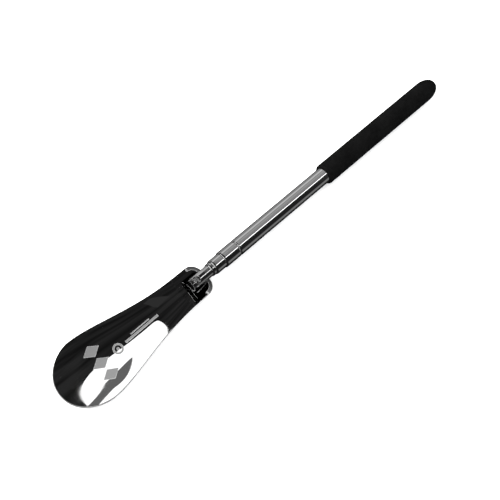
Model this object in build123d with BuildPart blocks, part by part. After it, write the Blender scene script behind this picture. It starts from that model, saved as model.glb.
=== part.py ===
"""Long telescopic shoehorn: polished blade, four nested round tubes and a foam grip.

Millimetres. X runs along the tubes, from the blade at -X to the grip at +X, and +Z is up,
on the hollow side of the blade. The origin is on the resting surface, under the middle of
the closed shoehorn.
"""
from build123d import *
import os
from math import asin, sqrt

os.makedirs("parts", exist_ok=True)

# ---------------------------------------------------------------- driving dimensions
# Blade
blade_length = 104.6
blade_width = 38.4
blade_widest_at = 23.0  # from the tip
blade_thickness = 1.2
blade_edge_round = 0.4
neck_width = 19.7
neck_length = 18.6  # straight trough that carries the inner tube
neck_corner = 8.0
neck_trough_radius = 16.0
belly_trough_radius = 43.0
belly_drop = 1.75  # belly's lowest line below the neck's lowest line
tip_drop = 0.8  # tip below the neck's lowest line

# Telescope
outer_tube_diameter = 10.0
tube_wall = 0.25
nesting_gap = 0.25  # radial, between a tube and the one inside it
outer_tube_length = 184.3
outer_mouth_step = 7.3  # outer mouth to second mouth
second_mouth_step = 2.4  # second mouth to third mouth
third_mouth_gap = 1.4  # third mouth to the end of the blade's neck
blade_overlap = 12.6  # inner tube lying on the neck
lip_length = 1.0
lip_clearance = 0.05
groove_distance = 11.3  # mouth to the middle of the rolled groove
groove_width = 1.2
groove_clearance = 0.08

# Tails of the sliding tubes
tail_neck_length = 8.5
tail_neck_clearance = 0.05  # inside a tail neck, round the next tube
tail_spacing = 1.0
shoulder_wall = 0.4
tail_ring_length = 1.5
tail_ring_clearance = 0.13
leaf_clearance = 0.03
leaf_end_clearance = 0.05
leaf_angle = 150.0

# Grip and end plug
grip_diameter = 13.0
grip_length = 105.0
grip_dome_length = 10.5
grip_mouth_round = 1.2
grip_end_wall = 5.2
plug_depth = 3.0
plug_flange = 0.8
plug_gap = 0.5  # plug to the second tube's tail

# Blade fixing
screw_from_end = 3.8  # along the inner tube, from its open end
screw_shank_diameter = 2.0
screw_head_diameter = 3.9
screw_head_height = 1.4
screw_head_round = 0.7
screw_recess_width = 0.5
screw_recess_length = 2.2
screw_recess_depth = 0.7
access_clearance = 0.2  # round the screw's head, in the tube and the insert
washer_thickness = 0.4
screw_seat_height = 1.2  # above the tube axis
shank_clearance = 0.1
insert_length = 5.4
insert_clearance = 0.02
barrel_wall = 0.58
barrel_clearance = 0.05
barrel_top_depth = 0.8  # below the tube axis
nut_head_diameter = 7.0
nut_head_height = 1.2
nut_floor = 0.5  # metal left under the end of the screw
thread_clearance = 0.02
washer_split = 0.5

# ---------------------------------------------------------------- derived places
closed_length = (
    blade_length
    + third_mouth_gap
    + second_mouth_step
    + outer_mouth_step
    + outer_tube_length
    + plug_flange
    + grip_end_wall
)
blade_tip_x = -closed_length / 2
blade_end_x = blade_tip_x + blade_length
grip_end_x = closed_length / 2
axis_height = grip_diameter / 2

third_mouth_x = blade_end_x + third_mouth_gap
second_mouth_x = third_mouth_x + second_mouth_step
outer_mouth_x = second_mouth_x + outer_mouth_step
outer_tail_x = outer_mouth_x + outer_tube_length
inner_end_x = blade_end_x - blade_overlap

tail_step = tail_neck_length + tail_spacing
second_tail_x = outer_tail_x - plug_depth - plug_gap
third_tail_x = second_tail_x - tail_step
inner_tail_x = third_tail_x - tail_step

radius_step = tube_wall + nesting_gap
outer_radius = outer_tube_diameter / 2
second_radius = outer_radius - radius_step
third_radius = second_radius - radius_step
inner_radius = third_radius - radius_step

screw_x = inner_end_x + screw_from_end
blade_top_z = axis_height - inner_radius  # neck's lowest line, upper face
blade_back_z = blade_top_z - blade_thickness

TUBE_AXIS = Axis((0, 0, axis_height), (1, 0, 0))
SIDE = Plane(origin=(0, 0, axis_height), x_dir=(1, 0, 0), z_dir=(0, -1, 0))
SCREW_AXIS = Axis((screw_x, 0, 0), (0, 0, 1))
SCREW_SIDE = Plane(origin=(screw_x, 0, 0), x_dir=(1, 0, 0), z_dir=(0, -1, 0))
SCREW_LEVEL = Plane(origin=(screw_x, 0, axis_height), x_dir=(1, 0, 0), z_dir=(0, 0, 1))
shank_radius = screw_shank_diameter / 2
head_radius = screw_head_diameter / 2
barrel_radius = shank_radius + thread_clearance + barrel_wall
barrel_hole_radius = barrel_radius + barrel_clearance
access_hole_radius = head_radius + access_clearance


def save(piece, label):
    """Labels a finished piece and writes its STEP file."""
    piece.part.label = label
    export_step(piece.part, f"parts/{label}.step")


# ---------------------------------------------------------------- blade
def trough_section(x, trough_radius, floor_z, half_width):
    """Face of the blade's sheet across X: an arc band with its lowest point at floor_z."""
    centre_z = floor_z + trough_radius
    back_radius = trough_radius + blade_thickness
    rise = sqrt(trough_radius**2 - half_width**2)
    back_half = half_width * back_radius / trough_radius
    back_rise = rise * back_radius / trough_radius
    with BuildSketch(Plane.YZ.offset(x)) as section:
        with BuildLine():
            hollow = ThreePointArc((-half_width, centre_z - rise), (0, floor_z), (half_width, centre_z - rise))
            back = ThreePointArc(
                (-back_half, centre_z - back_rise),
                (0, centre_z - back_radius),
                (back_half, centre_z - back_rise),
            )
            Line(hollow @ 0, back @ 0)
            Line(hollow @ 1, back @ 1)
        make_face()
    return section.sketch


def rim_edges(piece, side):
    """The outline's edges on the hollow side (1) or the back (-1), without the crease at the neck."""
    sheet = piece.faces().filter_by(lambda face: side * face.normal_at().Z > 0.5)
    return sheet.edges().filter_by(lambda edge: abs(edge.center().X - neck_start_x) > 0.01)


blade_margin = 3.0  # sheet left outside the outline before it is trimmed
neck_start_x = blade_end_x - neck_length
half_neck = neck_width / 2
half_belly = blade_width / 2
belly_x = blade_tip_x + blade_widest_at
waist_x = (belly_x + neck_start_x) / 2
waist_trough_radius = (belly_trough_radius + neck_trough_radius) / 2
tip_section = trough_section(
    blade_tip_x - blade_margin, belly_trough_radius, blade_top_z - tip_drop, half_belly + blade_margin
)
belly_section = trough_section(belly_x, belly_trough_radius, blade_top_z - belly_drop, half_belly + blade_margin)
waist_section = trough_section(
    waist_x, waist_trough_radius, blade_top_z - 0.6 * belly_drop, (half_belly + half_neck) / 2 + blade_margin
)
neck_section = trough_section(neck_start_x, neck_trough_radius, blade_top_z, half_neck + blade_margin)

with BuildPart() as blade:
    add([tip_section, belly_section, waist_section, neck_section])
    loft()
    extrude(neck_section, amount=neck_length + blade_margin, dir=(1, 0, 0))
    with BuildSketch(Plane.XY):
        with BuildLine():
            tip_side = Spline(
                (blade_tip_x, 0),
                (blade_tip_x + 3.3, 0.543 * half_belly),
                (blade_tip_x + 9.6, 0.837 * half_belly),
                (belly_x, half_belly),
                tangents=[(0, 1), (1, 0)],
            )
            Spline(
                tip_side @ 1,
                (belly_x + 0.36 * (neck_start_x - belly_x), half_neck + 0.58 * (half_belly - half_neck)),
                (belly_x + 0.76 * (neck_start_x - belly_x), half_neck + 0.14 * (half_belly - half_neck)),
                (neck_start_x + 0.2 * neck_length, half_neck),
                tangents=[(1, 0), (1, 0)],
            )
            Line((neck_start_x + 0.2 * neck_length, half_neck), (blade_end_x - neck_corner, half_neck))
            corner = RadiusArc(
                (blade_end_x - neck_corner, half_neck), (blade_end_x, half_neck - neck_corner), neck_corner
            )
            Line(corner @ 1, (blade_end_x, 0))
            mirror(about=Plane.XZ)
        make_face()
    extrude(amount=grip_diameter, both=True, mode=Mode.INTERSECT)
    fillet(rim_edges(blade, 1), blade_edge_round)
    fillet(rim_edges(blade, -1), blade_edge_round)
    with BuildSketch(Plane.XY.offset(blade_back_z - 1)):
        with Locations((screw_x, 0)):
            Circle(barrel_hole_radius)
    extrude(amount=grip_diameter, mode=Mode.SUBTRACT)
save(blade, "blade")


# ---------------------------------------------------------------- telescope
lip_drop = nesting_gap - lip_clearance
groove_depth = nesting_gap - groove_clearance
tail_neck_drop = nesting_gap - tail_neck_clearance


def wall_side(open_x, tail_x, radius, has_mouth, shoulder_x):
    """Draws one side of a tube's wall, from its open end to its tail, and returns the two end points.

    The same line serves the outside and the bore. A mouth is rolled in, with a stop groove behind
    it, and a tail neck starts at shoulder_x, or is left out where that is None.
    """
    start = (open_x, radius)
    reached = start
    if has_mouth:
        start = (open_x, radius - lip_drop)
        lip_x = open_x + lip_length
        groove_x = open_x + groove_distance
        TangentArc((lip_x, radius), start, tangent=(-1, 0))
        Line((lip_x, radius), (groove_x - groove_width / 2, radius))
        reached = (groove_x + groove_width / 2, radius)
        ThreePointArc((groove_x - groove_width / 2, radius), (groove_x, radius - groove_depth), reached)
    finish = (tail_x, radius)
    if shoulder_x is None:
        Line(reached, finish)
    else:
        finish = (tail_x, radius - tail_neck_drop)
        Polyline(reached, (shoulder_x, radius), (shoulder_x, radius - tail_neck_drop), finish)
    return start, finish


def tube_profile(open_x, tail_x, radius, has_mouth, has_neck):
    """Face of a tube's wall beside the tube axis, ready to be revolved."""
    shoulder_x = tail_x - tail_neck_length if has_neck else None
    bore_shoulder_x = shoulder_x - shoulder_wall if has_neck else None
    with BuildSketch(SIDE) as profile:
        with BuildLine():
            outside = wall_side(open_x, tail_x, radius, has_mouth, shoulder_x)
            bore = wall_side(open_x, tail_x, radius - tube_wall, has_mouth, bore_shoulder_x)
            Line(outside[0], bore[0])
            Line(outside[1], bore[1])
        make_face()
    return profile.sketch


with BuildPart() as outer_tube:
    revolve(tube_profile(outer_mouth_x, outer_tail_x, outer_radius, True, False), axis=TUBE_AXIS)
save(outer_tube, "outer_tube")

with BuildPart() as second_tube:
    revolve(tube_profile(second_mouth_x, second_tail_x, second_radius, True, True), axis=TUBE_AXIS)
save(second_tube, "second_tube")

with BuildPart() as third_tube:
    revolve(tube_profile(third_mouth_x, third_tail_x, third_radius, True, True), axis=TUBE_AXIS)
save(third_tube, "third_tube")

with BuildPart() as inner_tube:
    revolve(tube_profile(inner_end_x, inner_tail_x, inner_radius, False, True), axis=TUBE_AXIS)
    with BuildSketch(SCREW_LEVEL):
        Circle(access_hole_radius)
    extrude(amount=inner_radius, mode=Mode.SUBTRACT)
    with BuildSketch(SCREW_LEVEL):
        Circle(barrel_hole_radius)
    extrude(amount=-inner_radius, mode=Mode.SUBTRACT)
save(inner_tube, "inner_tube")


def make_tail(name, tail_x, neck_radius, bore_radius):
    """The tail ring and the two friction leaves on the neck of one sliding tube."""
    ring_x = tail_x - tail_ring_length
    with BuildPart() as tail_ring:
        with BuildSketch(SIDE):
            with Locations(((ring_x + tail_x) / 2, (neck_radius + bore_radius - tail_ring_clearance) / 2)):
                Rectangle(tail_ring_length, bore_radius - tail_ring_clearance - neck_radius)
        revolve(axis=TUBE_AXIS)
    save(tail_ring, f"{name}_tail_ring")

    leaf_start_x = tail_x - tail_neck_length + leaf_end_clearance
    leaf_end_x = ring_x - leaf_end_clearance
    leaf_inside = neck_radius + leaf_clearance
    leaf_outside = bore_radius - leaf_clearance
    for side, middle_angle in (("upper", 0), ("lower", 180)):
        with BuildPart() as leaf:
            with BuildSketch(SIDE.rotated((middle_angle - leaf_angle / 2, 0, 0))):
                with Locations(((leaf_start_x + leaf_end_x) / 2, (leaf_inside + leaf_outside) / 2)):
                    Rectangle(leaf_end_x - leaf_start_x, leaf_outside - leaf_inside)
            revolve(axis=TUBE_AXIS, revolution_arc=leaf_angle)
        save(leaf, f"{name}_{side}_leaf")


for stage_name, stage_tail_x, stage_radius in (
    ("second", second_tail_x, second_radius),
    ("third", third_tail_x, third_radius),
    ("inner", inner_tail_x, inner_radius),
):
    make_tail(stage_name, stage_tail_x, stage_radius - tail_neck_drop, stage_radius + nesting_gap)

# ---------------------------------------------------------------- end plug and grip
with BuildPart() as end_plug:
    with BuildSketch(SIDE):
        with BuildLine():
            Polyline(
                (outer_tail_x - plug_depth, 0),
                (outer_tail_x - plug_depth, outer_radius - tube_wall),
                (outer_tail_x, outer_radius - tube_wall),
                (outer_tail_x, outer_radius),
                (outer_tail_x + plug_flange, outer_radius),
                (outer_tail_x + plug_flange, 0),
                close=True,
            )
        make_face()
    revolve(axis=TUBE_AXIS)
save(end_plug, "end_plug")

grip_radius = grip_diameter / 2
grip_mouth_x = grip_end_x - grip_length
grip_dome_x = grip_end_x - grip_dome_length
bore_end_x = grip_end_x - grip_end_wall
with BuildPart() as foam_grip:
    with BuildSketch(SIDE):
        with BuildLine():
            mouth_round = RadiusArc(
                (grip_mouth_x, grip_radius - grip_mouth_round),
                (grip_mouth_x + grip_mouth_round, grip_radius),
                grip_mouth_round,
            )
            Line(mouth_round @ 1, (grip_dome_x, grip_radius))
            EllipticalCenterArc((grip_dome_x, 0), grip_dome_length, grip_radius, start_angle=0, arc_size=90)
            Polyline(
                (grip_end_x, 0),
                (bore_end_x, 0),
                (bore_end_x, outer_radius),
                (grip_mouth_x, outer_radius),
                mouth_round @ 0,
            )
        make_face()
    revolve(axis=TUBE_AXIS)
save(foam_grip, "foam_grip")

# ---------------------------------------------------------------- blade fixing
seat_z = axis_height + screw_seat_height
head_base_z = seat_z + washer_thickness
barrel_top_z = axis_height - barrel_top_depth
nut_head_radius = nut_head_diameter / 2
nut_base_z = blade_back_z - nut_head_height
insert_radius = inner_radius - tube_wall - insert_clearance

with BuildPart() as tip_insert:
    with BuildSketch(Plane.YZ.offset(screw_x - insert_length / 2)):
        with Locations((0, axis_height)):
            Circle(insert_radius)
    extrude(amount=insert_length)
    with BuildSketch(Plane.XY.offset(seat_z)):
        with Locations((screw_x, 0)):
            Circle(access_hole_radius)
    extrude(amount=inner_radius, mode=Mode.SUBTRACT)
    with BuildSketch(SCREW_LEVEL):
        Circle(shank_radius + shank_clearance)
    extrude(amount=inner_radius, both=True, mode=Mode.SUBTRACT)
    with BuildSketch(Plane.XY.offset(barrel_top_z + shank_clearance)):
        with Locations((screw_x, 0)):
            Circle(barrel_hole_radius)
    extrude(amount=-inner_radius, mode=Mode.SUBTRACT)
save(tip_insert, "tip_insert")

with BuildPart() as lock_washer:
    with BuildSketch(Plane.XY.offset(seat_z)):
        with Locations((screw_x, 0)):
            Circle(head_radius)
            Circle(shank_radius + shank_clearance, mode=Mode.SUBTRACT)
        with Locations((screw_x + head_radius / 2 + shank_radius / 2, 0)):
            Rectangle(head_radius, washer_split, mode=Mode.SUBTRACT)
    extrude(amount=washer_thickness)
save(lock_washer, "lock_washer")

with BuildPart() as blade_screw:
    with BuildSketch(SCREW_SIDE):
        with BuildLine():
            head_top_z = head_base_z + screw_head_height
            shank_end_z = nut_base_z + nut_floor
            head_round = RadiusArc(
                (head_radius - screw_head_round, head_top_z),
                (head_radius, head_top_z - screw_head_round),
                screw_head_round,
            )
            Polyline(
                head_round @ 0,
                (0, head_top_z),
                (0, shank_end_z),
                (shank_radius, shank_end_z),
                (shank_radius, head_base_z),
                (head_radius, head_base_z),
                head_round @ 1,
            )
        make_face()
    revolve(axis=SCREW_AXIS)
    with BuildSketch(Plane.XY.offset(head_top_z - screw_recess_depth)):
        with Locations((screw_x, 0)):
            Rectangle(screw_recess_length, screw_recess_width, rotation=30)
            Rectangle(screw_recess_width, screw_recess_length, rotation=30)
    extrude(amount=screw_head_height, mode=Mode.SUBTRACT)
save(blade_screw, "blade_screw")

with BuildPart() as barrel_nut:
    with BuildSketch(SCREW_SIDE):
        with BuildLine():
            Polyline(
                (0, nut_base_z),
                (0, blade_back_z + blade_thickness),
                (nut_head_radius, blade_back_z + blade_thickness),
                (nut_head_radius, blade_back_z),
            )
            TangentArc((0, nut_base_z), (nut_head_radius, blade_back_z), tangent=(1, 0))
        make_face()
    revolve(axis=SCREW_AXIS)
    with BuildSketch(Plane.YZ.offset(screw_x)):
        with Locations((0, blade_top_z + neck_trough_radius)):
            Circle(neck_trough_radius + blade_thickness)
    extrude(amount=nut_head_diameter, both=True, mode=Mode.SUBTRACT)
    with BuildSketch(Plane.XY.offset(barrel_top_z)):
        with Locations((screw_x, 0)):
            Circle(barrel_radius)
    extrude(amount=blade_back_z - barrel_top_z)
    with BuildSketch(Plane.XY.offset(nut_base_z + nut_floor)):
        with Locations((screw_x, 0)):
            Circle(shank_radius + thread_clearance)
    extrude(amount=axis_height, mode=Mode.SUBTRACT)
save(barrel_nut, "barrel_nut")
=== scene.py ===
import logging
import math
from dataclasses import dataclass
from enum import Enum

import bmesh
import bpy
from mathutils import Matrix, Vector, noise
from mathutils.geometry import interpolate_bezier


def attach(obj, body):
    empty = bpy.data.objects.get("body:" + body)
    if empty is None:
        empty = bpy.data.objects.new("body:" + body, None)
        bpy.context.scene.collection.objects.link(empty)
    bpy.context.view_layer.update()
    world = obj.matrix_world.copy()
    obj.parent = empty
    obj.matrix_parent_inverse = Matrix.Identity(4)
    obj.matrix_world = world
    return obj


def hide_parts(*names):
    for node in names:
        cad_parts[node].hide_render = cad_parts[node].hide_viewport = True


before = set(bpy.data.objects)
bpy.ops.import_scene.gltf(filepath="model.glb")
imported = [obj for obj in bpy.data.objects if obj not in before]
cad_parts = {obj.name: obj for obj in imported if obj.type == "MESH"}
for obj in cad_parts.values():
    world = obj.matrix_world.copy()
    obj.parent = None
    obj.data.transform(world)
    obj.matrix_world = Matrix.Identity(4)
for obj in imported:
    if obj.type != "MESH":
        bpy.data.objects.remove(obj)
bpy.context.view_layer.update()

LOG = logging.getLogger("shoehorn")
MM = 0.001
AXIS_HEIGHT = 6.5  # of the tubes' common axis above the resting surface, mm
LENGTHWISE = Vector((1.0, 0.0, 0.0))
UPWARD = Vector((0.0, 0.0, 1.0))
CIRCLE_HANDLE = 0.5523  # handle length that makes a quarter circle of radius 1
IN_MM = (1000.0, 1000.0, 1000.0)  # scale that turns Object coordinates into millimetres


class Body(Enum):
    """The moving bodies that pieces ride on."""

    HANDLE = "handle"
    SECOND_STAGE = "second_stage"
    THIRD_STAGE = "third_stage"
    BLADE_STAGE = "blade_stage"


class Slot(Enum):
    """The record's material slot names for new pieces; nothing in this script uses them."""

    BLADE = "polished_blade"
    TUBE = "chromed_tube"
    SCREW = "screw_steel"
    FOAM = "grip_foam"


# ---------------------------------------------------------------- node helpers
class Tree:
    """A short way to add and link the nodes of one node tree."""

    def __init__(self, tree: bpy.types.NodeTree) -> None:
        """Keeps the tree.

        Args:
            tree: The node tree to build in.
        """
        self.tree = tree

    def feed(self, socket: bpy.types.NodeSocket, value: object) -> None:
        """Links an output socket to socket, or sets a plain value on it."""
        if isinstance(value, bpy.types.NodeSocket):
            self.tree.links.new(value, socket)
        else:
            socket.default_value = value

    def node(self, kind: str, inputs: dict | None = None, **settings: object) -> bpy.types.Node:
        """Adds a node.

        Args:
            kind: The node's Blender type name.
            inputs: Socket name or number to a value, or to an output socket that feeds it.
            settings: Attributes set on the node itself.

        Returns:
            The new node.
        """
        made = self.tree.nodes.new(kind)
        for name, value in settings.items():
            setattr(made, name, value)
        for socket, value in (inputs or {}).items():
            self.feed(made.inputs[socket], value)
        return made

    def math(self, operation: str, a: object, b: object = 0.0) -> bpy.types.NodeSocket:
        """Adds a Math node on a and b and returns its output."""
        return self.node("ShaderNodeMath", {0: a, 1: b}, operation=operation).outputs[0]

    def fit(self, value: object, low: float, high: float, start: float, stop: float) -> bpy.types.NodeSocket:
        """Returns value carried from the range low to high into the range start to stop, and held there."""
        ramp = self.node(
            "ShaderNodeMapRange",
            {"Value": value, "From Min": low, "From Max": high, "To Min": start, "To Max": stop},
        )
        return ramp.outputs["Result"]

    def step(self, value: object, low: float, high: float) -> bpy.types.NodeSocket:
        """Returns a smooth rise from 0 at low to 1 at high."""
        ramp = self.node(
            "ShaderNodeMapRange",
            {"Value": value, "From Min": low, "From Max": high},
            interpolation_type="SMOOTHSTEP",
        )
        return ramp.outputs["Result"]

    def below(self, value: object, limit: float, soft: float) -> bpy.types.NodeSocket:
        """Returns 1 where value is under limit and 0 above it, with a soft edge."""
        return self.math("SUBTRACT", 1.0, self.step(value, limit - soft, limit + soft))

    def band(self, value: object, low: float, high: float, soft: float) -> bpy.types.NodeSocket:
        """Returns 1 between low and high, with soft edges."""
        return self.math("MULTIPLY", self.step(value, low - soft, low + soft), self.below(value, high, soft))

    def distance(self, a: object, b: object) -> bpy.types.NodeSocket:
        """Returns the length of the flat vector (a, b)."""
        return self.math("SQRT", self.math("ADD", self.math("MULTIPLY", a, a), self.math("MULTIPLY", b, b)))

    def blend(self, factor: object, a: object, b: object) -> bpy.types.NodeSocket:
        """Returns a colour mixed from a to b by factor."""
        mix = self.node("ShaderNodeMix", {"Factor": factor}, data_type="RGBA")
        for name, value in (("A", a), ("B", b)):
            self.feed(next(s for s in mix.inputs if s.name == name and s.type == "RGBA"), value)
        return next(s for s in mix.outputs if s.type == "RGBA")

    def place(
        self, scale: tuple[float, float, float], move: tuple[float, float, float] = (0.0, 0.0, 0.0)
    ) -> bpy.types.NodeSocket:
        """Returns Object coordinates, scaled and moved."""
        here = self.node("ShaderNodeTexCoord").outputs["Object"]
        mapping = self.node("ShaderNodeMapping", {"Vector": here, "Scale": scale, "Location": move})
        return mapping.outputs["Vector"]

    def effect(self, group: bpy.types.NodeTree, inputs: dict) -> bpy.types.Node:
        """Adds a shared effect with its own values and returns its node."""
        made = self.node("ShaderNodeGroup", node_tree=group)
        for socket, value in inputs.items():
            self.feed(made.inputs[socket], value)
        return made


def grey(value: float) -> tuple[float, float, float, float]:
    """Returns a neutral colour."""
    return (value, value, value, 1.0)


# ---------------------------------------------------------------- shared surface effects
def effect_group(
    name: str, inputs: dict[str, float | str], outputs: tuple[str, ...]
) -> tuple[bpy.types.NodeTree, Tree, bpy.types.Node, bpy.types.Node]:
    """Starts a shared effect as a node group.

    Args:
        name: The group's name.
        inputs: Input names with their first values, or "vector" for a vector input.
        outputs: Names of the values it puts out.

    Returns:
        The group, a Tree on it, its input node and its output node.
    """
    group = bpy.data.node_groups.new(name, "ShaderNodeTree")
    for socket, value in inputs.items():
        kind = "NodeSocketVector" if value == "vector" else "NodeSocketFloat"
        made = group.interface.new_socket(name=socket, in_out="INPUT", socket_type=kind)
        if value != "vector":
            made.default_value = value
    for socket in outputs:
        group.interface.new_socket(name=socket, in_out="OUTPUT", socket_type="NodeSocketFloat")
    tree = Tree(group)
    return group, tree, tree.node("NodeGroupInput"), tree.node("NodeGroupOutput")


class Effects:
    """The effects that several materials share, each built once."""

    def __init__(self) -> None:
        """Builds every effect."""
        self.marks = self.build_marks()
        self.grain = self.build_grain()
        self.wear = self.build_wear()

    def build_marks(self) -> bpy.types.NodeTree:
        """Soft cloudy handling marks: a mask that is 0 on clean surface."""
        group, tree, given, out = effect_group(
            "handling_marks", {"Vector": "vector", "Size": 1.0, "Cover": 0.5, "Softness": 0.1}, ("Mask",)
        )
        scale = tree.math("DIVIDE", 1.0, given.outputs["Size"])
        place = given.outputs["Vector"]
        clouds = tree.node("ShaderNodeTexNoise", {"Vector": place, "Scale": scale, "Detail": 3.0})
        edge = tree.math("SUBTRACT", 1.0, given.outputs["Cover"])
        low = tree.math("SUBTRACT", edge, given.outputs["Softness"])
        high = tree.math("ADD", edge, given.outputs["Softness"])
        tree.feed(out.inputs["Mask"], tree.step(clouds.outputs["Fac"], low, high))
        return group

    def build_grain(self) -> bpy.types.NodeTree:
        """Fine grain, round or drawn out by its vector: a height, and the same as a slow mask."""
        group, tree, given, out = effect_group(
            "fine_grain", {"Vector": "vector", "Size": 1.0}, ("Height", "Mask")
        )
        place = given.outputs["Vector"]
        scale = tree.math("DIVIDE", 1.0, given.outputs["Size"])
        slow_scale = tree.math("MULTIPLY", scale, 0.2)
        fine = tree.node("ShaderNodeTexNoise", {"Vector": place, "Scale": scale, "Detail": 2.0})
        slow = tree.node("ShaderNodeTexNoise", {"Vector": place, "Scale": slow_scale, "Detail": 1.0})
        tree.feed(out.inputs["Height"], fine.outputs["Fac"])
        tree.feed(out.inputs["Mask"], tree.step(slow.outputs["Fac"], 0.35, 0.65))
        return group

    def build_wear(self) -> bpy.types.NodeTree:
        """Rubbed edges: a mask that rises on convex edges, broken up by noise."""
        group, tree, given, out = effect_group("edge_wear", {"Vector": "vector", "Amount": 0.5}, ("Mask",))
        convex = tree.step(tree.node("ShaderNodeNewGeometry").outputs["Pointiness"], 0.51, 0.60)
        place = given.outputs["Vector"]
        broken = tree.node("ShaderNodeTexNoise", {"Vector": place, "Scale": 2.0, "Detail": 3.0})
        rubbed = tree.math("MULTIPLY", convex, tree.step(broken.outputs["Fac"], 0.3, 0.6))
        tree.feed(out.inputs["Mask"], tree.math("MULTIPLY", rubbed, given.outputs["Amount"]))
        return group


# ---------------------------------------------------------------- finishes
@dataclass(frozen=True)
class Finish:
    """What every finish starts from: a named material with one Principled shader."""

    name: str
    colour: float
    roughness: float
    metallic: float
    specular: float = 0.5

    def start(self) -> tuple[bpy.types.Material, Tree, bpy.types.Node]:
        """Makes the material and sets what is the same all over it.

        Returns:
            The material, a Tree on its nodes, and its shader.
        """
        material = bpy.data.materials.new(self.name)
        material.use_nodes = True
        shader = material.node_tree.nodes["Principled BSDF"]
        shader.inputs["Base Color"].default_value = grey(self.colour)
        shader.inputs["Roughness"].default_value = self.roughness
        shader.inputs["Metallic"].default_value = self.metallic
        shader.inputs["Specular IOR Level"].default_value = self.specular
        return material, Tree(material.node_tree), shader

    @staticmethod
    def bump(
        tree: Tree, shader: bpy.types.Node, height: object, depth: float, strength: float = 1.0
    ) -> bpy.types.Node:
        """Raises the surface by height times depth, in metres, through the shader's Normal."""
        made = tree.node("ShaderNodeBump", {"Height": height, "Distance": depth, "Strength": strength})
        tree.feed(shader.inputs["Normal"], made.outputs["Normal"])
        return made


@dataclass(frozen=True)
class DrawnMetal(Finish):
    """Bright metal with faint lines along the tubes, handling marks and rubbed edges."""

    line_size: float = 0.12
    line_stretch: tuple[float, float, float] = (20.0, 1000.0, 1000.0)
    line_depth: float = 0.0000004
    line_roughness: float = 0.02
    marks_size: float = 9.0
    marks_cover: float = 0.45
    marks_roughness: float = 0.05
    wear: float = 0.6
    worn_gain: float = 1.08
    edge_soft: float = 0.0003

    def make(self, effects: Effects) -> bpy.types.Material:
        """Builds the material."""
        material, tree, shader = self.start()
        millimetres = tree.place(IN_MM)
        stretched = tree.place(self.line_stretch)
        lines = tree.effect(effects.grain, {"Vector": stretched, "Size": self.line_size})
        marks = tree.effect(
            effects.marks,
            {"Vector": millimetres, "Size": self.marks_size, "Cover": self.marks_cover, "Softness": 0.12},
        ).outputs["Mask"]
        worn = tree.effect(effects.wear, {"Vector": millimetres, "Amount": self.wear}).outputs["Mask"]
        dulled = tree.math("MULTIPLY", marks, self.marks_roughness)
        fine = tree.math("MULTIPLY", lines.outputs["Mask"], self.line_roughness)
        rough = tree.math("ADD", tree.math("ADD", self.roughness, dulled), fine)
        tree.feed(shader.inputs["Roughness"], rough)
        shade = tree.blend(worn, grey(self.colour), grey(min(1.0, self.colour * self.worn_gain)))
        tree.feed(shader.inputs["Base Color"], shade)
        raised = self.bump(tree, shader, lines.outputs["Height"], self.line_depth)
        rounded = tree.node("ShaderNodeBevel", {"Radius": self.edge_soft}, samples=8)
        tree.feed(raised.inputs["Normal"], rounded.outputs["Normal"])
        return material


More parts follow.
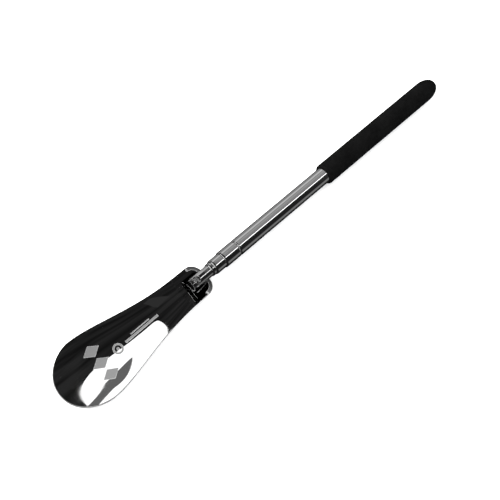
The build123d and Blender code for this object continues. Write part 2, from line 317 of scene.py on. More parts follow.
@dataclass(frozen=True)
class EtchedMirror(Finish):
    """Mirror-polished sheet with polishing lines, faint smears and a plain etched pattern.

    Distances are in millimetres, and places count from the blade's tip. The pattern is three
    lozenges across the blade, a ring with a dot, and two fine lines that run towards the neck.
    The two lines each give their start, stop, middle and half width. The rounded corners of the
    neck keep a dull margin.
    """

    tip_x: float = -153.0
    lozenge_place: float = 27.5
    lozenge_pitch: float = 8.0
    lozenge_half: tuple[float, float] = (5.2, 3.3)
    ring_place: float = 39.5
    ring_radius: float = 2.55
    ring_stroke: float = 0.45
    dot_radius: float = 0.8
    long_line: tuple[float, float, float, float] = (45.0, 68.0, 0.1, 0.55)
    short_line: tuple[float, float, float, float] = (50.0, 63.0, 1.7, 0.25)
    etched_colour: float = 0.11
    etched_roughness: float = 0.62
    etched_metallic: float = 0.15
    line_edge: float = 0.12
    # Corner margin: rougher and less metallic, and its grey colour is painted reflection of the rolled
    # edge's crescents.
    corner_place: tuple[float, float] = (96.6, 1.85)
    corner_radius: float = 8.0
    painted_reflection_band: tuple[float, float] = (1.8, 2.2)
    painted_reflection_start: tuple[float, float] = (-0.8, 1.2)
    painted_reflection_grey: float = 0.05
    frost_size: float = 0.09
    frost_spread: float = 0.1
    smear_size: float = 7.0
    smear_roughness: float = 0.035
    wear_roughness: float = 0.04
    line_share: float = 0.01
    etched_depth: float = 0.00002

    def pattern(self, tree: Tree, x: object, y: object) -> bpy.types.NodeSocket:
        """Returns the etched pattern's mask from the distance to the tip and across."""
        total = None
        half_x, half_y = self.lozenge_half
        for row in (-1, 0, 1):
            aside = tree.math("ABSOLUTE", tree.math("SUBTRACT", y, row * self.lozenge_pitch))
            ahead = tree.math("ABSOLUTE", tree.math("SUBTRACT", x, self.lozenge_place))
            reach = tree.math("ADD", tree.math("DIVIDE", ahead, half_x), tree.math("DIVIDE", aside, half_y))
            inside = tree.below(reach, 1.0, 0.04)
            total = inside if total is None else tree.math("MAXIMUM", total, inside)
        from_ring = tree.distance(tree.math("SUBTRACT", x, self.ring_place), y)
        inside, outside = self.ring_radius - self.ring_stroke, self.ring_radius + self.ring_stroke
        ring = tree.band(from_ring, inside, outside, self.line_edge)
        dot = tree.below(from_ring, self.dot_radius, self.line_edge)
        total = tree.math("MAXIMUM", total, tree.math("MAXIMUM", ring, dot))
        for start, stop, middle, half in (self.long_line, self.short_line):
            along = tree.band(x, start, stop, self.line_edge)
            across = tree.band(y, middle - half, middle + half, self.line_edge)
            total = tree.math("MAXIMUM", total, tree.math("MULTIPLY", along, across))
        return total

    def painted_reflection_rim_mask(self, tree: Tree, x: object, y: object) -> bpy.types.NodeSocket:
        """Returns the mask of the margin round the neck's corners: rougher, less metallic and painted grey
        as a reflection.
        """
        past = tree.math("SUBTRACT", x, self.corner_place[0])
        ahead = tree.math("MAXIMUM", past, 0.0)
        beside = tree.math("SUBTRACT", tree.math("ABSOLUTE", y), self.corner_place[1])
        aside = tree.math("MAXIMUM", beside, 0.0)
        narrow, wide = self.painted_reflection_band
        rim = tree.step(tree.distance(ahead, aside), self.corner_radius - wide, self.corner_radius - narrow)
        return tree.math("MULTIPLY", rim, tree.step(past, *self.painted_reflection_start))

    def make(self, effects: Effects) -> bpy.types.Material:
        """Builds the material."""
        material, tree, shader = self.start()
        millimetres = tree.place(IN_MM, (-self.tip_x, 0.0, 0.0))
        parts = tree.node("ShaderNodeSeparateXYZ", {0: millimetres})
        normal = tree.node("ShaderNodeNewGeometry").outputs["Normal"]
        facing_up = tree.node("ShaderNodeSeparateXYZ", {0: normal})
        upper = tree.step(facing_up.outputs["Z"], 0.3, 0.5)
        etched = tree.math("MULTIPLY", self.pattern(tree, parts.outputs["X"], parts.outputs["Y"]), upper)
        lines = tree.effect(effects.grain, {"Vector": tree.place((35.0, 900.0, 900.0)), "Size": 0.3})
        frost = tree.effect(effects.grain, {"Vector": millimetres, "Size": self.frost_size})
        smears = tree.effect(
            effects.marks,
            {"Vector": millimetres, "Size": self.smear_size, "Cover": 0.42, "Softness": 0.14},
        ).outputs["Mask"]
        worn = tree.effect(effects.wear, {"Vector": millimetres, "Amount": 0.5}).outputs["Mask"]
        polish = tree.math("ADD", self.roughness, tree.math("MULTIPLY", smears, self.smear_roughness))
        polish = tree.math("ADD", polish, tree.math("MULTIPLY", worn, self.wear_roughness))
        smooth, coarse = self.etched_roughness - self.frost_spread, self.etched_roughness + self.frost_spread
        matte = tree.fit(frost.outputs["Height"], 0.3, 0.7, smooth, coarse)
        # Corner margin mask; its grey colour below is painted reflection, while the etched pattern is real
        # print.
        painted_reflection_band = self.painted_reflection_rim_mask(tree, parts.outputs["X"], parts.outputs["Y"])
        dull = tree.math("MAXIMUM", etched, painted_reflection_band)
        tree.feed(shader.inputs["Roughness"], tree.blend(dull, polish, matte))
        low, high = grey(self.etched_colour * 0.8), grey(self.etched_colour * 1.2)
        marked = tree.blend(etched, grey(self.colour), tree.blend(frost.outputs["Height"], low, high))
        # Painted reflection: the corner margin takes a flat grey colour in place of the crescents it would
        # reflect.
        shade = tree.blend(painted_reflection_band, marked, grey(self.painted_reflection_grey))
        tree.feed(shader.inputs["Base Color"], shade)
        tree.feed(shader.inputs["Metallic"], tree.fit(dull, 0.0, 1.0, self.metallic, self.etched_metallic))
        grit = tree.math("MULTIPLY", frost.outputs["Height"], 0.5)
        cut = tree.math("MULTIPLY", etched, tree.math("SUBTRACT", grit, 1.0))
        height = tree.math("ADD", cut, tree.math("MULTIPLY", lines.outputs["Height"], self.line_share))
        self.bump(tree, shader, height, self.etched_depth)
        return material


@dataclass(frozen=True)
class MouldedNylon(Finish):
    """Moulded nylon with a fine satin grain and slight clouding."""

    grain_size: float = 0.25

    def make(self, effects: Effects) -> bpy.types.Material:
        """Builds the material."""
        material, tree, shader = self.start()
        millimetres = tree.place(IN_MM)
        grain = tree.effect(effects.grain, {"Vector": millimetres, "Size": self.grain_size})
        marks = tree.effect(
            effects.marks, {"Vector": millimetres, "Size": 3.0, "Cover": 0.5, "Softness": 0.2}
        )
        shade = tree.blend(marks.outputs["Mask"], grey(self.colour * 0.85), grey(self.colour * 1.15))
        tree.feed(shader.inputs["Base Color"], shade)
        rough = tree.fit(grain.outputs["Mask"], 0.0, 1.0, self.roughness - 0.05, self.roughness + 0.05)
        tree.feed(shader.inputs["Roughness"], rough)
        self.bump(tree, shader, grain.outputs["Height"], 0.00001)
        return material


@dataclass(frozen=True)
class TintedMetal(Finish):
    """Unplated metal inside the tubes: its colour varies a little and it has a tumbled grain."""

    tint: tuple[float, float, float] = (1.0, 1.0, 1.0)
    grain_size: float = 0.2

    def make(self, effects: Effects) -> bpy.types.Material:
        """Builds the material."""
        material, tree, shader = self.start()
        millimetres = tree.place(IN_MM)
        grain = tree.effect(effects.grain, {"Vector": millimetres, "Size": self.grain_size})
        marks = tree.effect(
            effects.marks, {"Vector": millimetres, "Size": 2.0, "Cover": 0.5, "Softness": 0.2}
        )
        worn = tree.effect(effects.wear, {"Vector": millimetres, "Amount": 0.8}).outputs["Mask"]
        plain = tuple(self.colour * part for part in self.tint)
        dull = (*(part * 0.82 for part in plain), 1.0)
        bright = (*(min(1.0, part * 1.12) for part in plain), 1.0)
        shade = tree.blend(marks.outputs["Mask"], dull, (*plain, 1.0))
        tree.feed(shader.inputs["Base Color"], tree.blend(worn, shade, bright))
        rough = tree.fit(marks.outputs["Mask"], 0.0, 1.0, self.roughness + 0.12, self.roughness)
        tree.feed(shader.inputs["Roughness"], rough)
        self.bump(tree, shader, grain.outputs["Height"], 0.000004)
        return material


@dataclass(frozen=True)
class CellFoam(Finish):
    """Closed-cell foam: fine open pores in a matte skin, the pores painted darker as shade, and dust lighter
    in patches over the skin.
    """

    pore_size: float = 0.42
    pore_depth: float = 0.00022

    def make(self, effects: Effects) -> bpy.types.Material:
        """Builds the material."""
        material, tree, shader = self.start()
        millimetres = tree.place(IN_MM)
        cells = tree.node("ShaderNodeTexVoronoi", {"Vector": millimetres, "Scale": 1.0 / self.pore_size})
        grain = tree.effect(effects.grain, {"Vector": millimetres, "Size": 0.5})
        marks = tree.effect(
            effects.marks, {"Vector": millimetres, "Size": 12.0, "Cover": 0.5, "Softness": 0.2}
        )
        pore = tree.step(cells.outputs["Distance"], 0.1, 0.55)
        skin = tree.blend(marks.outputs["Mask"], grey(self.colour * 0.8), grey(self.colour * 1.3))
        dusty = tree.blend(tree.math("MULTIPLY", grain.outputs["Mask"], 0.25), skin, grey(self.colour * 2.2))
        # Painted shade: the pores are coloured half as bright as the skin.
        tree.feed(shader.inputs["Base Color"], tree.blend(pore, grey(self.colour * 0.5), dusty))
        tree.feed(shader.inputs["Roughness"], tree.fit(pore, 0.0, 1.0, 1.0, self.roughness))
        height = tree.math("ADD", pore, tree.math("MULTIPLY", grain.outputs["Height"], 0.6))
        self.bump(tree, shader, height, self.pore_depth, 0.8)
        return material


class Surface(Enum):
    """Every finish on the shoehorn."""

    BLADE = EtchedMirror("mirror_polished_sheet", 0.9, 0.015, 1.0)
    TUBE = DrawnMetal("chromed_drawn_tube", 0.86, 0.04, 1.0)
    SCREW = DrawnMetal("zinc_plated_steel", 0.72, 0.16, 1.0, line_size=0.3, marks_size=1.5)
    ALLOY = TintedMetal("die_cast_alloy", 0.05, 0.6, 1.0)
    BRASS = TintedMetal("spring_brass", 0.78, 0.24, 1.0, tint=(1.0, 0.78, 0.42))
    NYLON = MouldedNylon("moulded_nylon", 0.045, 0.5, 0.0, 0.4)
    FOAM = CellFoam("cell_foam", 0.0022, 0.95, 0.0, 0.08)


class Paintbox:
    """Builds each finish once and hands out its material."""

    def __init__(self) -> None:
        """Builds the shared effects first."""
        self.effects = Effects()
        self.made: dict[Surface, bpy.types.Material] = {}

    def get(self, surface: Surface) -> bpy.types.Material:
        """Returns the material of a finish, building it at its first use."""
        if surface not in self.made:
            self.made[surface] = surface.value.make(self.effects)
        return self.made[surface]

    def dress(self, node: str, surface: Surface) -> None:
        """Gives a CAD node its finish."""
        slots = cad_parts[node].data.materials
        slots.clear()
        slots.append(self.get(surface))
        LOG.info("%s: CAD shape in %s", node, self.get(surface).name)


# ---------------------------------------------------------------- making pieces
def finish_piece(
    name: str, bm: bmesh.types.BMesh, body: Body, material: bpy.types.Material, stands_for: str
) -> bpy.types.Object:
    """Turns a bmesh in millimetres into a finished piece in place of a CAD node.

    Args:
        name: The piece's name.
        bm: Its shape, which is freed.
        body: The body it rides on.
        material: Its material.
        stands_for: The CAD node that it replaces.

    Returns:
        The piece's object.
    """
    bmesh.ops.scale(bm, vec=(MM, MM, MM), verts=bm.verts)
    for face in bm.faces:
        face.smooth = True
        face.material_index = 0
    mesh = bpy.data.meshes.new(name)
    bm.to_mesh(mesh)
    bm.free()
    mesh.materials.append(material)
    piece = bpy.data.objects.new(name, mesh)
    bpy.context.scene.collection.objects.link(piece)
    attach(piece, body.value)
    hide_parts(stands_for)
    LOG.info("%s: %d faces, stands for %s", name, len(mesh.polygons), stands_for)
    return piece


def turned(
    profile: list[tuple[float, float]], centre: Vector, axis: Vector, steps: int
) -> bmesh.types.BMesh:
    """Turns a closed profile about an axis.

    Args:
        profile: Places along the axis and distances from it, in order round the wall.
        centre: A point on the axis, from which the places are counted.
        axis: The axis, which is LENGTHWISE or UPWARD.
        steps: Faces in one turn.

    Returns:
        The closed shape, with its faces outwards.
    """
    aside = UPWARD if axis is LENGTHWISE else LENGTHWISE
    bm = bmesh.new()
    points = [bm.verts.new(centre + axis * along + aside * away) for along, away in profile]
    for here, after in zip(points, points[1:] + points[:1]):
        bm.edges.new((here, after))
    bmesh.ops.spin(
        bm, geom=bm.verts[:] + bm.edges[:], cent=centre, axis=axis, dvec=(0, 0, 0),
        angle=math.tau, steps=steps, use_merge=True, use_duplicate=False,
    )
    bmesh.ops.remove_doubles(bm, verts=bm.verts, dist=0.0005)
    loose = [edge for edge in bm.edges if not edge.link_faces]
    bmesh.ops.delete(bm, geom=loose, context="EDGES")
    bmesh.ops.recalc_face_normals(bm, faces=bm.faces)
    return bm


def arc(
    centre: tuple[float, float], size: tuple[float, float], start: float, stop: float, count: int
) -> list[tuple[float, float]]:
    """Returns count + 1 points of an ellipse's arc between two angles in degrees."""
    angles = [math.radians(start + (stop - start) * step / count) for step in range(count + 1)]
    (x, y), (wide, high) = centre, size
    return [(x + wide * math.cos(angle), y + high * math.sin(angle)) for angle in angles]


@dataclass(frozen=True)
class Station:
    """One place along the blade: a value there and how steeply it changes."""

    x: float
    value: float
    slope: float


def eased(stations: tuple[Station, ...], x: float) -> float:
    """Returns the smooth value at x, and the end stations' values beyond them."""
    if x >= stations[-1].x:
        return stations[-1].value
    here, after = next(
        ((a, b) for a, b in zip(stations, stations[1:]) if x <= b.x), (stations[0], stations[1])
    )
    span = after.x - here.x
    t = (x - here.x) / span
    return (
        (2 * t**3 - 3 * t**2 + 1) * here.value
        + (t**3 - 2 * t**2 + t) * span * here.slope
        + (3 * t**2 - 2 * t**3) * after.value
        + (t**3 - t**2) * span * after.slope
    )


# ---------------------------------------------------------------- blade
@dataclass
class Blade:
    """The polished sheet: a troughed outline with rounded rims and a hole for the barrel nut."""

    tip_x: float = -153.0
    end_x: float = -48.4
    half_belly: float = 19.2
    belly_x: float = -132.05
    half_neck: float = 9.85
    neck_from: float = -62.0
    neck_corner: float = 8.0
    thickness: float = 1.2
    edge_round: float = 0.4
    rim_rings: int = 5
    cell: float = 1.0
    screw_x: float = -57.2
    hole_radius: float = 1.65
    hole_block: float = 2.5
    roll_width: float = 3.2
    roll_depth: float = 0.5
    roll_start: float = 0.5  # share of the corner over which the roll-off sets in
    tip_handle: float = 13.16
    belly_handles: tuple[float, float] = (8.3, 16.79)  # towards the tip and towards the neck
    neck_handle: float = 31.4
    floor: tuple[Station, ...] = (
        Station(-156.0, 2.2, -0.07),
        Station(-130.0, 1.25, 0.0),
        Station(-98.5, 1.95, 0.0375),
        Station(-67.0, 3.0, 0.0265),
    )
    trough: tuple[Station, ...] = (
        Station(-156.0, 43.0, 0.0),
        Station(-130.0, 43.0, 0.0),
        Station(-98.5, 29.5, -0.43),
        Station(-67.0, 16.0, -0.43),
    )

    def outline(self) -> list[Vector]:
        """Returns the points round the blade, seen from above."""
        corner_x, corner_y = self.end_x - self.neck_corner, self.half_neck - self.neck_corner
        reach = CIRCLE_HANDLE * self.neck_corner
        to_tip, to_neck = self.belly_handles
        belly = (self.belly_x, self.half_belly)
        spans = (
            (
                (self.tip_x, 0), (self.tip_x, self.tip_handle),
                (self.belly_x - to_tip, self.half_belly), belly, 44,
            ),
            (
                belly, (self.belly_x + to_neck, self.half_belly),
                (self.neck_from - self.neck_handle, self.half_neck), (self.neck_from, self.half_neck), 56,
            ),
            (
                (corner_x, self.half_neck), (corner_x + reach, self.half_neck),
                (self.end_x, corner_y + reach), (self.end_x, corner_y), 18,
            ),
        )
        side = []
        for *knots, count in spans:
            points = interpolate_bezier(*(Vector((x, y, 0.0)) for x, y in knots), count)
            side += points[1:] if side and (points[0] - side[-1]).length < 0.01 else points
        other = [Vector((p.x, -p.y, 0.0)) for p in reversed(side) if p.y > 0.001]
        return side + other

    def height(self, x: float, y: float, back: bool) -> float:
        """Returns the height of the hollow side, or of the back, at a place."""
        radius = eased(self.trough, x)
        middle = eased(self.floor, x) + radius
        if back:
            radius += self.thickness
        return middle - math.sqrt(radius**2 - y**2) - self.roll_off(x, y)

    def roll_off(self, x: float, y: float) -> float:
        """Returns how far the neck's rounded end is rolled down at a place."""
        start = self.end_x - self.neck_corner
        if x <= start:
            return 0.0
        aside = max(0.0, abs(y) - (self.half_neck - self.neck_corner))
        from_edge = self.neck_corner - math.hypot(aside, x - start)
        if from_edge >= self.roll_width:
            return 0.0
        share = min(1.0, (x - start) / (self.roll_start * self.neck_corner))
        return self.roll_depth * share * (1.0 - from_edge / self.roll_width) ** 2

    def facing(self, x: float, y: float, back: bool) -> Vector:
        """Returns the outward normal of the hollow side, or of the back."""
        step = 0.02
        rise_x = (self.height(x + step, y, back) - self.height(x - step, y, back)) / (2 * step)
        rise_y = (self.height(x, y + step, back) - self.height(x, y - step, back)) / (2 * step)
        normal = Vector((-rise_x, -rise_y, 1.0)).normalized()
        return -normal if back else normal

    def flat_sheet(self) -> bmesh.types.BMesh:
        """Returns the outline as a flat sheet: rings along the rim, cells inside, and the nut's hole.

        The rings' faces have material index 0 and the cells' have 1.
        """
        bm = bmesh.new()
        inner = bm.faces.new([bm.verts.new(point) for point in self.outline()])
        reached = 0.0
        for ring in range(1, self.rim_rings + 1):
            inset = self.edge_round * (1.0 - math.cos(math.radians(90.0 * ring / self.rim_rings)))
            bmesh.ops.inset_individual(bm, faces=[inner], thickness=inset - reached, use_even_offset=True)
            reached = inset
        inner.material_index = 1
        for place, direction in self.cuts():
            cells = [face for face in bm.faces if face.material_index == 1]
            edges = {edge for face in cells for edge in face.edges}
            verts = {vert for face in cells for vert in face.verts}
            bmesh.ops.bisect_plane(
                bm, geom=[*verts, *edges, *cells], dist=0.00001, plane_co=place, plane_no=direction
            )
        self.open_hole(bm)
        return bm

    def cuts(self) -> list[tuple[Vector, Vector]]:
        """Returns the planes that divide the sheet into cells, on either side of the hole's block."""
        across = Vector((0.0, 1.0, 0.0))
        planes = []
        for first, low, high, direction in (
            (self.screw_x - self.hole_block, self.tip_x, self.end_x, LENGTHWISE),
            (-self.hole_block, -self.half_belly, self.half_belly, across),
        ):
            start = first - self.cell * math.floor((first - low) / self.cell)
            count = math.ceil((high - start) / self.cell)
            planes += [(direction * (start + self.cell * step), direction) for step in range(count)]
        return planes

    def open_hole(self, bm: bmesh.types.BMesh) -> None:
        """Opens the round hole inside its block of cells."""
        centre = Vector((self.screw_x, 0.0, 0.0))
        block = [
            face for face in bm.faces
            if max(abs(part) for part in (face.calc_center_median() - centre)) < self.hole_block
        ]
        inside = [edge for face in block for edge in face.edges]
        around = {edge for edge in inside if sum(face in block for face in edge.link_faces) == 1}
        bmesh.ops.delete(bm, geom=block, context="FACES")
        loop = [edge for edge in around if edge.is_valid]
        there = Matrix.Translation(centre)
        circle = bmesh.ops.create_circle(
            bm, cap_ends=False, radius=self.hole_radius, segments=len(loop), matrix=there
        )
        rim = {edge for vert in circle["verts"] for edge in vert.link_edges}
        made = bmesh.ops.bridge_loops(bm, edges=[*loop, *rim])
        for face in made["faces"]:
            face.material_index = 1

    def shape(self) -> tuple[bmesh.types.BMesh, list[Vector]]:
        """Gives the flat sheet its trough, its back and its walls.

        Returns:
            The closed shape, and a normal for each of its vertices.
        """
        bm = self.flat_sheet()
        bm.verts.ensure_lookup_table()
        outline = self.outline()
        ring_gap = {}
        for vert in bm.verts:
            if any(face.material_index == 1 for face in vert.link_faces):
                ring_gap[vert] = self.edge_round
        rings = [vert for vert in bm.verts if vert not in ring_gap]
        count = len(outline)
        for place, vert in enumerate(rings):
            ring = place // count
            ring_gap[vert] = self.edge_round * (1.0 - math.cos(math.radians(90.0 * ring / self.rim_rings)))
        upper = list(bm.faces)
        copied = bmesh.ops.duplicate(bm, geom=bm.verts[:] + bm.edges[:] + bm.faces[:])
        twin = {vert: copied["vert_map"][vert] for vert in ring_gap}
        lower = [face for face in copied["geom"] if isinstance(face, bmesh.types.BMFace)]
        bmesh.ops.reverse_faces(bm, faces=[face for face in upper if face.normal.z < 0])
        bm.normal_update()
        bmesh.ops.reverse_faces(bm, faces=[face for face in lower if face.normal.z > 0])
        places = {}
        for vert, gap in ring_gap.items():
            lean = 1.0 - gap / self.edge_round
            drop = self.edge_round * (1.0 - math.sqrt(max(0.0, 1.0 - lean**2)))
            places[vert] = (vert.co.x, vert.co.y, gap, False, -drop)
            places[twin[vert]] = (vert.co.x, vert.co.y, gap, True, drop)
        for vert, (x, y, _, back, drop) in places.items():
            vert.co.z = self.height(x, y, back) + drop
        open_edges = [edge for edge in bm.edges if len(edge.link_faces) == 1]
        centre = Vector((self.screw_x, 0.0, 0.0))
        hole = [
            edge for edge in open_edges
            if (edge.verts[0].co.xy - centre.xy).length < self.hole_radius * 1.5
        ]
        near_hole = set(hole)
        bmesh.ops.bridge_loops(bm, edges=[edge for edge in open_edges if edge not in near_hole])
        bmesh.ops.bridge_loops(bm, edges=hole)
        bmesh.ops.recalc_face_normals(bm, faces=bm.faces)
        bm.normal_update()
        normals = []
        for vert in bm.verts:
            x, y, gap, back, _ = places[vert]
            on_sheet = gap >= self.edge_round - 0.0001
            at_hole = (Vector((x, y)) - centre.xy).length < self.hole_radius + 0.01
            normals.append(self.facing(x, y, back) if on_sheet and not at_hole else vert.normal.copy())
        return bm, normals

    def build(self, paints: Paintbox) -> None:
        """Builds the sheet with true mirror normals."""
        bm, normals = self.shape()
        piece = finish_piece(
            "blade_sheet", bm, Body.BLADE_STAGE, paints.get(Surface.BLADE), "blade"
        )
        piece.data.normals_split_custom_set_from_vertices(normals)


# ---------------------------------------------------------------- telescope
@dataclass
class Tube:
    """One drawn tube with a rolled mouth and a stop groove behind it."""

    name: str
    node: str
    body: Body
    mouth_x: float
    tail_x: float
    radius: float
    has_neck: bool = True
    wall: float = 0.25
    lip_length: float = 1.0
    lip_drop: float = 0.2
    groove_distance: float = 11.3
    groove_width: float = 1.2
    groove_depth: float = 0.17
    neck_length: float = 8.5
    neck_drop: float = 0.2
    shoulder_wall: float = 0.4
    hold: float = 0.25
    lip_steps: int = 6
    groove_steps: int = 10
    turn_steps: int = 96

    def side(self, radius: float, shoulder_x: float) -> list[tuple[float, float]]:
        """Returns the outside or the bore of the wall, from the mouth to the tail."""
        points = []
        for step in range(self.lip_steps + 1):
            ahead = step / self.lip_steps
            sunk = self.lip_drop * (1.0 - ahead) ** 2
            points.append((self.mouth_x + self.lip_length * ahead, radius - sunk))
        groove_x = self.mouth_x + self.groove_distance
        half = self.groove_width / 2
        points.append((points[-1][0] + self.hold, radius))
        points.append((groove_x - half - self.hold, radius))
        for step in range(self.groove_steps + 1):
            across = 2.0 * step / self.groove_steps - 1.0
            dip = self.groove_depth * (1.0 + math.cos(math.pi * across)) / 2
            points.append((groove_x + half * across, radius - dip))
        points.append((groove_x + half + self.hold, radius))
        if self.has_neck:
            low = radius - self.neck_drop
            points += [(shoulder_x - self.hold, radius), (shoulder_x, radius), (shoulder_x, low)]
            points += [(self.tail_x, low)]
        else:
            points.append((self.tail_x, radius))
        return points

    def build(self, paints: Paintbox) -> None:
        """Turns the wall about the tubes' axis."""
        shoulder_x = self.tail_x - self.neck_length
        outside = self.side(self.radius, shoulder_x)
        bore = self.side(self.radius - self.wall, shoulder_x - self.shoulder_wall)
        bm = turned(outside + bore[::-1], Vector((0.0, 0.0, AXIS_HEIGHT)), LENGTHWISE, self.turn_steps)
        piece = finish_piece(self.name, bm, self.body, paints.get(Surface.TUBE), self.node)
        piece.data.set_sharp_from_angle(angle=math.radians(35.0))


@dataclass
class Telescope:
    """The three outer tubes, the inner tube, and the tail rings and leaves that guide them."""

    tubes: tuple[Tube, ...] = (
        Tube("outer_tube_wall", "outer_tube", Body.HANDLE, -37.3, 147.0, 5.0, has_neck=False),
        Tube("second_tube_wall", "second_tube", Body.SECOND_STAGE, -44.6, 143.5, 4.5),
        Tube("third_tube_wall", "third_tube", Body.THIRD_STAGE, -47.0, 134.0, 4.0),
    )
    stages: tuple[str, ...] = ("second", "third", "inner")

    def build(self, paints: Paintbox) -> None:
        """Builds the tubes and dresses what runs inside them."""
        for tube in self.tubes:
            tube.build(paints)
        paints.dress("inner_tube", Surface.TUBE)
        for stage in self.stages:
            paints.dress(f"{stage}_tail_ring", Surface.BRASS)
            paints.dress(f"{stage}_upper_leaf", Surface.BRASS)
            paints.dress(f"{stage}_lower_leaf", Surface.BRASS)


# ---------------------------------------------------------------- blade fixing
@dataclass
class BladeFixing:
    """What holds the blade on the inner tube: insert, washer, cross-recessed screw and barrel nut."""

    def build(self, paints: Paintbox) -> None:
        """Dresses the fixing's pieces."""
        paints.dress("tip_insert", Surface.ALLOY)
        paints.dress("lock_washer", Surface.SCREW)
        paints.dress("blade_screw", Surface.SCREW)
        paints.dress("barrel_nut", Surface.SCREW)


# ---------------------------------------------------------------- grip
@dataclass
class Grip:
    """The foam sleeve pulled over the outer tube, and the nylon plug under its closed end."""

    mouth_x: float = 48.0
    dome_x: float = 142.5
    end_x: float = 153.0
    radius: float = 6.5
    bore: float = 5.02
    bore_end_x: float = 147.85
    mouth_round: float = 1.2
    ring_gap: float = 1.4
    turn_steps: int = 72
    unevenness: float = 0.07
    uneven_size: float = 2.3

    def profile(self) -> list[tuple[float, float]]:
        """Returns the sleeve's wall, from its mouth over the dome and back along the bore."""
        mouth = arc(
            (self.mouth_x + self.mouth_round, self.radius - self.mouth_round),
            (self.mouth_round, self.mouth_round), 180.0, 90.0, 8,
        )
        start = self.mouth_x + self.mouth_round
        count = round((self.dome_x - start) / self.ring_gap)
        barrel = [(start + (self.dome_x - start) * step / count, self.radius) for step in range(1, count)]
        dome = arc((self.dome_x, 0.0), (self.end_x - self.dome_x, self.radius), 90.0, 0.0, 18)
        inside = [(self.bore_end_x, 0.0), (self.bore_end_x, self.bore), (self.mouth_x, self.bore)]
        return mouth + barrel + dome + inside

    def build(self, paints: Paintbox) -> None:
        """Turns the sleeve and gives its skin the slight unevenness of foam."""
        centre = Vector((0.0, 0.0, AXIS_HEIGHT))
        bm = turned(self.profile(), centre, LENGTHWISE, self.turn_steps)
        for vert in bm.verts:
            away = Vector((0.0, vert.co.y, vert.co.z - AXIS_HEIGHT))
            if away.length < self.bore + 0.1:
                continue
            sink = self.unevenness * (0.5 + 0.5 * noise.noise(vert.co / self.uneven_size))
            vert.co -= away.normalized() * sink
        foam = paints.get(Surface.FOAM)
        piece = finish_piece("foam_sleeve", bm, Body.HANDLE, foam, "foam_grip")
        piece.data.set_sharp_from_angle(angle=math.radians(50.0))
        paints.dress("end_plug", Surface.NYLON)


# ---------------------------------------------------------------- studio
@dataclass(frozen=True)
class Softbox:
    """A lit patch of the studio, as mirror-bright metal sees it.

    The patch is a box in two measures of direction: how far it looks along +X, and its turn from
    straight up towards +Y, in degrees.
    """

    along: tuple[float, float]
    turn: tuple[float, float]
    brightness: float
    along_soft: float = 0.003
    turn_soft: float = 4.0


@dataclass(frozen=True)
class Card:
    """A flat card hung over the blade for the polished metal to reflect.

    It is drawn side by side, in millimetres at its height: one knot starts a straight side, and
    four knots are a curve with its two handles. Only reflections see it.
    """

    name: str
    height: float
    brightness: float
    sides: tuple[tuple[tuple[float, float], ...], ...]
    curve_steps: int = 12

    def outline(self) -> list[Vector]:
        """Returns the points round the card."""
        points = []
        for side in self.sides:
            knots = [Vector((x, y, self.height)) for x, y in side]
            points += interpolate_bezier(*knots, self.curve_steps)[:-1] if len(knots) > 1 else knots
        return points

    def hang(self) -> None:
        """Makes the card."""
        bm = bmesh.new()
        bm.faces.new([bm.verts.new(point * MM) for point in self.outline()])
        mesh = bpy.data.meshes.new(self.name)
        bm.to_mesh(mesh)
        bm.free()
        card = bpy.data.objects.new(self.name, mesh)
        bpy.context.scene.collection.objects.link(card)
        material = bpy.data.materials.new(self.name)
        material.use_nodes = True
        material.cycles.emission_sampling = "NONE"
        shader = material.node_tree.nodes["Principled BSDF"]
        shader.inputs["Base Color"].default_value = grey(0.0)
        shader.inputs["Specular IOR Level"].default_value = 0.0
        shader.inputs["Emission Color"].default_value = grey(1.0)
        shader.inputs["Emission Strength"].default_value = self.brightness
        mesh.materials.append(material)
        card.visible_camera = False
        card.visible_diffuse = False
        card.visible_shadow = False
        card.visible_transmission = False
        card.visible_volume_scatter = False


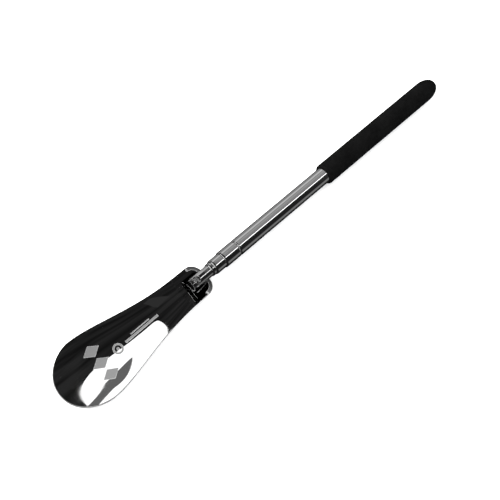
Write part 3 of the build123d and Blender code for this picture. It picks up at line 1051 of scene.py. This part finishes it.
@dataclass
class Studio:
    """Pale floor, soft light, the camera, and the surroundings that polished metal reflects.

    Only reflections see the softboxes and cards. Metal that is seen in other metal reflects
    second_bounce of them.
    """

    floor_size: float = 8.0
    floor_grey: float = 0.93
    sky_strength: float = 2.0
    dark: float = 0.011
    lamp_power: float = 90.0
    lamp_size: float = 1.2
    lamp_place: tuple[float, float, float] = (-0.9, 1.3, 1.0)
    camera_place: tuple[float, float, float] = (-0.24848, -0.08643, 0.51307)
    camera_aim: tuple[float, float, float] = (-0.02016, -0.0059, 0.00636)
    camera_roll: float = 28.505
    camera_lens: float = 71.475
    softboxes: tuple[Softbox, ...] = (
        Softbox((0.372, 0.56), (-6.0, 24.0), 0.24),
        Softbox((0.372, 0.56), (24.0, 44.0), 0.32, turn_soft=6.0),
        Softbox((0.348, 0.56), (50.0, 80.0), 0.54, turn_soft=10.0),
        Softbox((0.348, 0.56), (84.0, 122.0), 0.22, turn_soft=6.0),
        Softbox((0.348, 0.56), (-20.0, -12.0), 2.2, turn_soft=1.0),
        Softbox((0.348, 0.56), (-118.0, -84.0), 0.16, turn_soft=6.0),
        Softbox((0.53, 0.95), (-90.0, 90.0), 0.20, along_soft=0.04),
        Softbox((-0.4, 0.36), (86.0, 122.0), 0.20, turn_soft=6.0),
        Softbox((-0.97, -0.62), (-70.0, 70.0), 0.3, along_soft=0.03),
        Softbox((-0.62, -0.16), (-32.0, 14.0), 1.3, along_soft=0.03, turn_soft=6.0),
    )
    second_bounce: float = 0.008
    cards: tuple[Card, ...] = (
        Card(
            "white_card", 120.0, 1.3,
            (
                ((-108, 45), (-108, 30), (-105, 20), (-100, 20)),
                ((-100, 20), (-90, 23), (-75, 32), (-65, 32)),
                ((-65, 32), (-60, 32), (-58, 37), (-57, 45)),
                ((-57, 45), (-52, 90), (-47, 170), (-45, 270)),
                ((-45, 270),),
                ((-90, 270),),
                ((-90, 155), (-97, 115), (-107, 75), (-108, 45)),
            ),
        ),
        Card(
            "grey_card", 119.0, 0.13,
            (
                ((-91, 155), (-92, 115), (-87, 100), (-85, 75)),
                ((-85, 75), (-87, 68), (-97, 67), (-98, 72)),
                ((-98, 72), (-98, 85), (-97, 95), (-103, 104)),
                ((-103, 104),),
            ),
        ),
        Card(
            "faint_card", 120.0, 0.028,
            (
                ((-57, -83), (-52, -70), (-45, -42), (-42, -23)),
                ((-42, -23),),
                ((-54, -11), (-58, -28), (-59, -50), (-63, -70)),
                ((-63, -70),),
            ),
        ),
    )

    def build(self) -> None:
        """Builds the floor, the light, the reflected surroundings and the camera."""
        self.build_floor()
        self.build_world()
        self.build_lights()
        self.build_camera()
        for card in self.cards:
            card.hang()
        LOG.info("studio: %d softboxes and %d cards", len(self.softboxes), len(self.cards))

    def build_floor(self) -> None:
        """Lays a plain pale floor at the resting surface."""
        bm = bmesh.new()
        bmesh.ops.create_grid(bm, x_segments=1, y_segments=1, size=self.floor_size / 2)
        mesh = bpy.data.meshes.new("floor")
        bm.to_mesh(mesh)
        bm.free()
        floor = bpy.data.objects.new("floor", mesh)
        bpy.context.scene.collection.objects.link(floor)
        material = bpy.data.materials.new("floor_paper")
        material.use_nodes = True
        shader = material.node_tree.nodes["Principled BSDF"]
        shader.inputs["Base Color"].default_value = grey(self.floor_grey)
        shader.inputs["Roughness"].default_value = 0.9
        shader.inputs["Specular IOR Level"].default_value = 0.1
        mesh.materials.append(material)
        floor.visible_glossy = False

    def reflected(self, tree: Tree) -> bpy.types.NodeSocket:
        """Returns how bright the surroundings look to polished metal in each direction."""
        direction = tree.node("ShaderNodeTexCoord").outputs["Generated"]
        parts = tree.node("ShaderNodeSeparateXYZ", {0: direction})
        along = parts.outputs["X"]
        turn = tree.math("DEGREES", tree.math("ARCTAN2", parts.outputs["Y"], parts.outputs["Z"]))
        clouds = tree.node("ShaderNodeTexNoise", {"Vector": direction, "Scale": 9.0, "Detail": 2.0})
        seen = tree.fit(clouds.outputs["Fac"], 0.35, 0.7, 0.6 * self.dark, 2.0 * self.dark)
        for box in self.softboxes:
            seen = tree.math("ADD", seen, self.patch(tree, along, turn, box))
        bounces = tree.node("ShaderNodeLightPath").outputs["Glossy Depth"]
        kept = tree.fit(bounces, 1.0, 2.0, 1.0, self.second_bounce)
        return tree.math("MULTIPLY", seen, kept)

    def patch(self, tree: Tree, along: object, turn: object, box: Softbox) -> bpy.types.NodeSocket:
        """Returns the brightness of one softbox in each direction, and 0 outside it."""
        across = tree.band(turn, *box.turn, box.turn_soft)
        inside = tree.math("MULTIPLY", tree.band(along, *box.along, box.along_soft), across)
        return tree.math("MULTIPLY", inside, box.brightness)

    def build_world(self) -> None:
        """Gives even soft light to everything, and the softboxes to glossy reflections only."""
        world = bpy.data.worlds.new("studio")
        world.use_nodes = True
        world.cycles.sampling_method = "NONE"
        bpy.context.scene.world = world
        tree = Tree(world.node_tree)
        world.node_tree.nodes.clear()
        paths = tree.node("ShaderNodeLightPath")
        soft = tree.node("ShaderNodeBackground", {"Color": grey(1.0), "Strength": self.sky_strength})
        mirrored = tree.node("ShaderNodeBackground", {"Color": grey(1.0), "Strength": self.reflected(tree)})
        chosen = tree.node(
            "ShaderNodeMixShader",
            {0: paths.outputs["Is Glossy Ray"], 1: soft.outputs[0], 2: mirrored.outputs[0]},
        )
        tree.node("ShaderNodeOutputWorld", {"Surface": chosen.outputs[0]})

    def build_lights(self) -> None:
        """Hangs one broad soft light over the floor."""
        light = bpy.data.lights.new("overhead", "AREA")
        light.shape = "DISK"
        light.size = self.lamp_size
        light.energy = self.lamp_power
        lamp = bpy.data.objects.new("overhead", light)
        lamp.location = self.lamp_place
        lamp.rotation_euler = (-Vector(self.lamp_place)).to_track_quat("-Z", "Y").to_euler()
        lamp.visible_glossy = False
        bpy.context.scene.collection.objects.link(lamp)

    def build_camera(self) -> None:
        """Places the camera, looks at the aim and rolls it about its line of sight."""
        data = bpy.data.cameras.new("camera")
        data.lens = self.camera_lens
        data.sensor_width = 36.0
        camera = bpy.data.objects.new("camera", data)
        place, aim = Vector(self.camera_place), Vector(self.camera_aim)
        turn = (aim - place).to_track_quat("-Z", "Y").to_matrix().to_4x4()
        roll = Matrix.Rotation(math.radians(self.camera_roll), 4, "Z")
        camera.matrix_world = Matrix.Translation(place) @ turn @ roll
        bpy.context.scene.collection.objects.link(camera)
        bpy.context.scene.camera = camera
        bpy.context.scene.view_settings.view_transform = "Standard"


def main() -> None:
    """Builds the studio and then the shoehorn, piece by piece."""
    logging.basicConfig(level=logging.INFO, format="%(name)s: %(message)s")
    Studio().build()
    paints = Paintbox()
    for assembly in (Blade(), Telescope(), BladeFixing(), Grip()):
        LOG.info("building the %s", type(assembly).__name__)
        assembly.build(paints)


if __name__ == "__main__":
    main()
